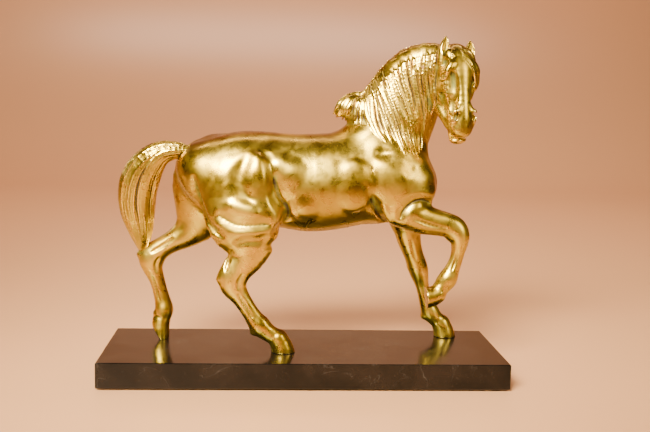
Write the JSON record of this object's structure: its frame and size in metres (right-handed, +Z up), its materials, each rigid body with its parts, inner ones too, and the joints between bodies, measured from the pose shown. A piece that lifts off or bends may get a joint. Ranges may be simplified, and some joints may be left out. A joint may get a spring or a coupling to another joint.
{
  "type": "horse statue",
  "caption": "Cast bronze walking horse, head turned to its right and one foreleg raised, on a rectangular black stone plinth.",
  "frame": {"origin": "middle of the plan of the plinth, on the surface that the felt pads stand on", "axes": "+X the way the horse walks, along the plinth; +Y to the horse's left; +Z up"},
  "size_m": [0.42, 0.14, 0.3611],
  "materials": {
    "bronze": "golden bronze, hand-polished to a satin gloss, browner on top and with traces of green in the hollows",
    "fixing_bronze": "dull drawn bronze rod",
    "black_stone": null,
    "zinc_steel": "zinc plated steel",
    "felt": "dark green pressed felt"
  },
  "bodies": {
    "root": {"body_casting": "bronze", "neck_casting": "bronze", "head_casting": "bronze", "tail_casting": "bronze", "near_hind_leg": "bronze", "far_hind_leg": "bronze", "near_fore_leg": "bronze", "far_fore_leg": "bronze", "neck_pin": "fixing_bronze", "head_pin": "fixing_bronze", "tail_pin": "fixing_bronze", "near_hind_pin": "fixing_bronze", "far_hind_pin": "fixing_bronze", "near_fore_pin": "fixing_bronze", "far_fore_pin": "fixing_bronze", "plinth": "black_stone", "near_hind_stud": "fixing_bronze", "far_fore_stud": "fixing_bronze", "far_hind_stud": "fixing_bronze", "near_hind_washer": "zinc_steel", "far_fore_washer": "zinc_steel", "far_hind_washer": "zinc_steel", "near_hind_nut": "zinc_steel", "far_fore_nut": "zinc_steel", "far_hind_nut": "zinc_steel", "near_rear_pad": "felt", "near_front_pad": "felt", "far_rear_pad": "felt", "far_front_pad": "felt"}
  },
  "joints": []
}
